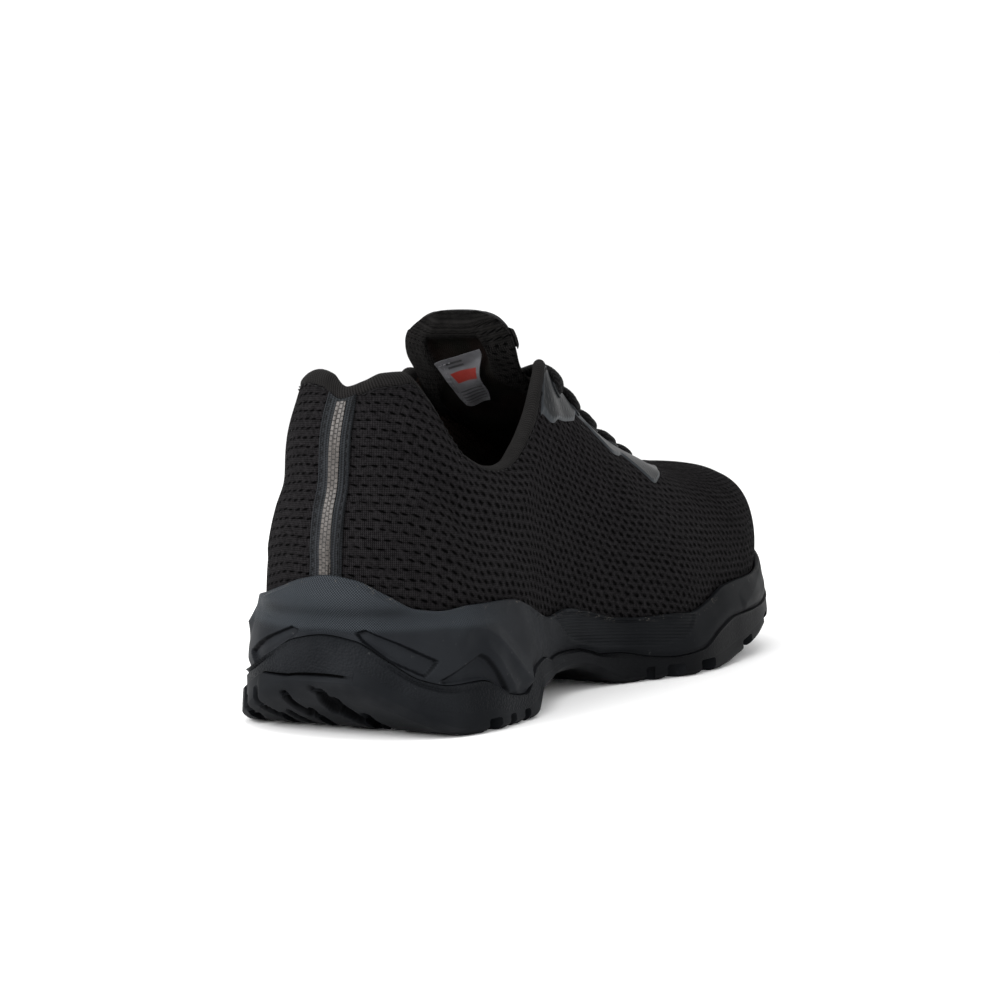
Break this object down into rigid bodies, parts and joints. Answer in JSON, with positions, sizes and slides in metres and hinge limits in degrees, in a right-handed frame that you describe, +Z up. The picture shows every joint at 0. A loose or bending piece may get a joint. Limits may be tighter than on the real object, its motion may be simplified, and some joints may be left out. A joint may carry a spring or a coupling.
{
  "type": "safety sneaker",
  "caption": "Low black left safety sneaker with a mesh upper, film eyestay, crossed lace, padded tongue and a lugged two-part sole.",
  "frame": {"origin": "on the floor under the middle of the heel seat, 45 mm in from the sole's rear end", "axes": "+X towards the toe, +Y towards the outer side of the foot, +Z up"},
  "size_m": [0.298, 0.1038, 0.1252],
  "materials": {
    "outsole_rubber": "matte grained",
    "midsole_foam": "matte",
    "upper_mesh": "matte knit",
    "lining": "matte",
    "eyestay_film": "satin",
    "heel_webbing": "woven",
    "lace_cord": "matte braid"
  },
  "bodies": {
    "root": {"outsole": "outsole_rubber", "midsole": "midsole_foam", "upper": "upper_mesh", "insole": "lining", "tongue": "upper_mesh", "tongue_tab": "heel_webbing", "eyestay": "eyestay_film", "heel_tape": "heel_webbing", "lace": "lace_cord"}
  },
  "joints": []
}
